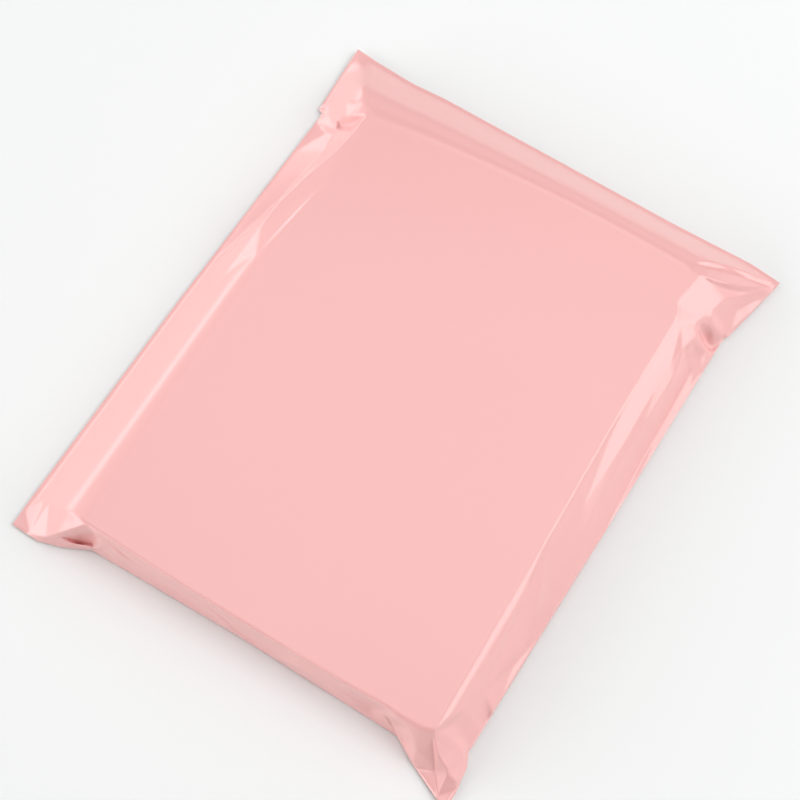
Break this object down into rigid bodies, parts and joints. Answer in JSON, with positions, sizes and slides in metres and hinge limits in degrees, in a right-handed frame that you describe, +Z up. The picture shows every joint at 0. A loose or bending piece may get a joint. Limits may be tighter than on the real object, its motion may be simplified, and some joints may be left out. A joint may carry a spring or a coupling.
{
  "type": "poly mailer bag",
  "caption": "Sealed pink poly mailer bag drawn over a flat pack of folded goods, with its flap stuck down behind and creased corner ears.",
  "frame": {"origin": "centre of the bag's outline, on the surface that its back panel lies on", "axes": "+Y towards the flap's fold, +X across the bag to the right seen from the front, +Z up out of the front panel"},
  "size_m": [0.2499, 0.3042, 0.025],
  "materials": {
    "pink_film": "opaque pink co-extruded polyethylene film, satin, with soft creases"
  },
  "bodies": {
    "root": {"mailer_bag": "pink_film"}
  },
  "joints": []
}
